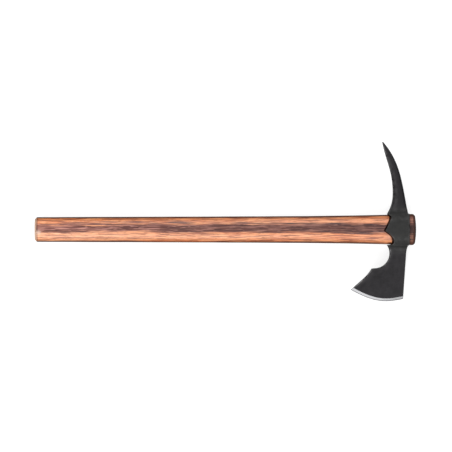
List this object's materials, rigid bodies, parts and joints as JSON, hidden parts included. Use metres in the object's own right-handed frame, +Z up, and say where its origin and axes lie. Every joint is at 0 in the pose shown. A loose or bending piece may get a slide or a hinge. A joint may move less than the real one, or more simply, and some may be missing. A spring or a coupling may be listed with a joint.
{
  "type": "spike hatchet",
  "caption": "Hatchet with a one-piece forged head, a curved spike opposite a bearded blade, slipped onto a straight oval wooden haft that flares through the eye.",
  "frame": {"origin": "on the flat of the lower cheek, under the middle of the eye; the haft's axis is 18 mm above it", "axes": "the hatchet lies on its side: +X along the haft to its top end, +Y to the spike, +Z up out of the blade's side"},
  "size_m": [0.486, 0.2032, 0.036],
  "materials": {
    "haft_wood": "satin",
    "head_steel": "matte"
  },
  "bodies": {
    "haft": {"haft": "haft_wood"},
    "head": {"head": "head_steel"}
  },
  "joints": [
    {"name": "head_slide", "type": "slide", "parent": "haft", "child": "head", "axis": [1, 0, 0], "range_m": [-0.45, 0]}
  ]
}
